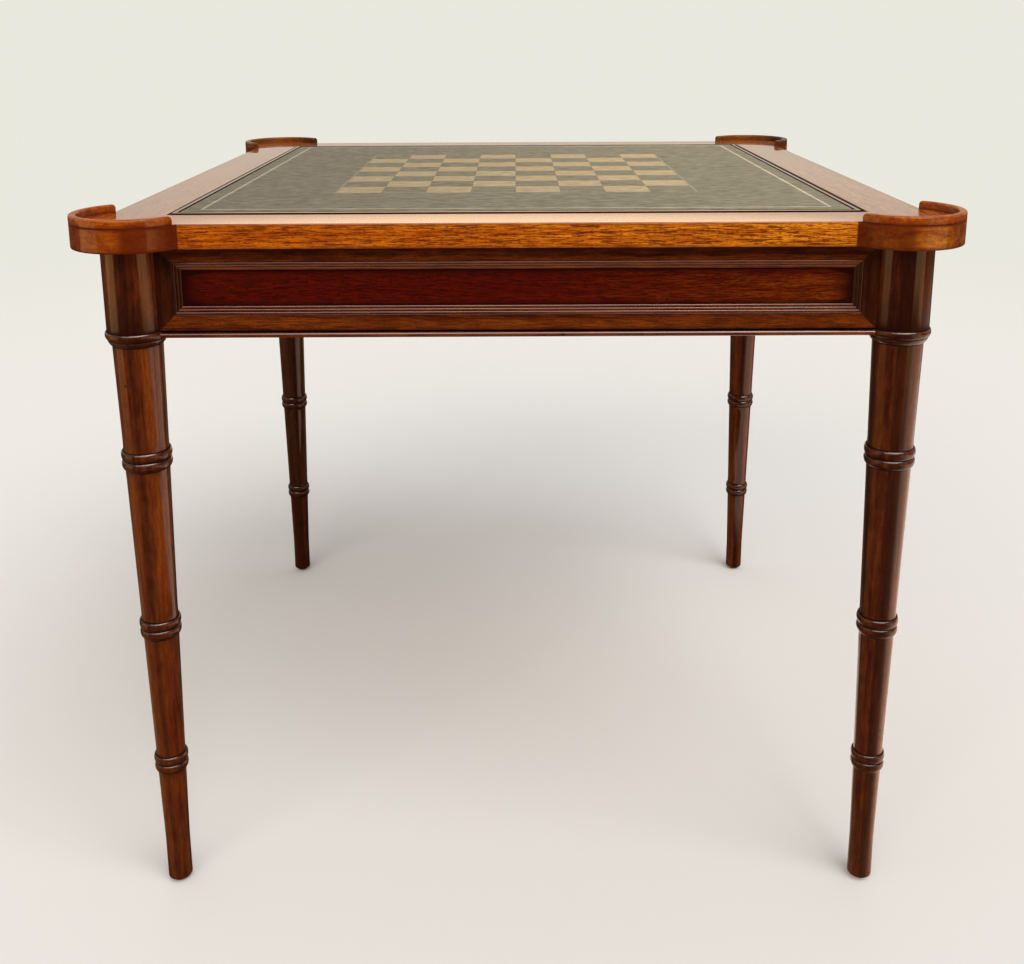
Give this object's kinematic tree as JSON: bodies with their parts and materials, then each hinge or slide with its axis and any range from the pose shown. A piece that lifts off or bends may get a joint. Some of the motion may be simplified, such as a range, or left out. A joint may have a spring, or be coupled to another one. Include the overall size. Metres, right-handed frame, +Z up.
{
  "type": "chess table",
  "caption": "Square games table on turned faux-bamboo legs, with panelled aprons, round galleried corners and a loose reversible panel with a gold-tooled leather chessboard.",
  "frame": {"origin": "on the floor under the middle of the table", "axes": "+Z up; +X to the right and -Y towards the viewer of the picture, square to the aprons"},
  "size_m": [0.861, 0.861, 0.743],
  "materials": {
    "dark_mahogany": "polished dark red-brown mahogany, satin to gloss lacquer",
    "top_mahogany": "polished orange-brown mahogany, gloss lacquer with fine pores",
    "poplar": "plain planed secondary wood, unfinished",
    "leather": "grey-olive hide with long streaks and a soft sheen",
    "gilt": "gold tooling pressed into the leather, slightly worn",
    "steel": "plain steel wood screws",
    "nickel": "pressed metal nail glides, dulled"
  },
  "bodies": {
    "table": {"leg_front_left": "dark_mahogany", "foot_glide_front_left": "nickel", "corner_gallery_front_left": "top_mahogany", "corner_block_front_left": "poplar", "leg_front_right": "dark_mahogany", "foot_glide_front_right": "nickel", "corner_gallery_front_right": "top_mahogany", "corner_block_front_right": "poplar", "leg_back_right": "dark_mahogany", "foot_glide_back_right": "nickel", "corner_gallery_back_right": "top_mahogany", "corner_block_back_right": "poplar", "leg_back_left": "dark_mahogany", "foot_glide_back_left": "nickel", "corner_gallery_back_left": "top_mahogany", "corner_block_back_left": "poplar", "apron_rail_front": "dark_mahogany", "apron_border_front": "dark_mahogany", "panel_moulding_front": "dark_mahogany", "apron_bead_front": "dark_mahogany", "top_rail_front": "top_mahogany", "panel_ledge_front": "poplar", "apron_rail_right": "dark_mahogany", "apron_border_right": "dark_mahogany", "panel_moulding_right": "dark_mahogany", "apron_bead_right": "dark_mahogany", "top_rail_right": "top_mahogany", "panel_ledge_right": "poplar", "apron_rail_back": "dark_mahogany", "apron_border_back": "dark_mahogany", "panel_moulding_back": "dark_mahogany", "apron_bead_back": "dark_mahogany", "top_rail_back": "top_mahogany", "panel_ledge_back": "poplar", "apron_rail_left": "dark_mahogany", "apron_border_left": "dark_mahogany", "panel_moulding_left": "dark_mahogany", "apron_bead_left": "dark_mahogany", "top_rail_left": "top_mahogany", "panel_ledge_left": "poplar", "mitre_tongues": "poplar", "ledge_screws": "steel", "corner_block_screws": "steel"},
    "chess_panel": {"panel_core": "poplar", "panel_leather": "leather", "panel_reverse_veneer": "top_mahogany", "gilt_squares": "gilt", "gilt_board_line": "gilt", "gilt_border_line": "gilt", "panel_lipping_front": "top_mahogany", "panel_lipping_right": "top_mahogany", "panel_lipping_back": "top_mahogany", "panel_lipping_left": "top_mahogany"}
  },
  "joints": [
    {"name": "panel_lift", "type": "slide", "parent": "table", "child": "chess_panel", "axis": [0, 0, 1], "range_m": [0, 0.12]}
  ]
}
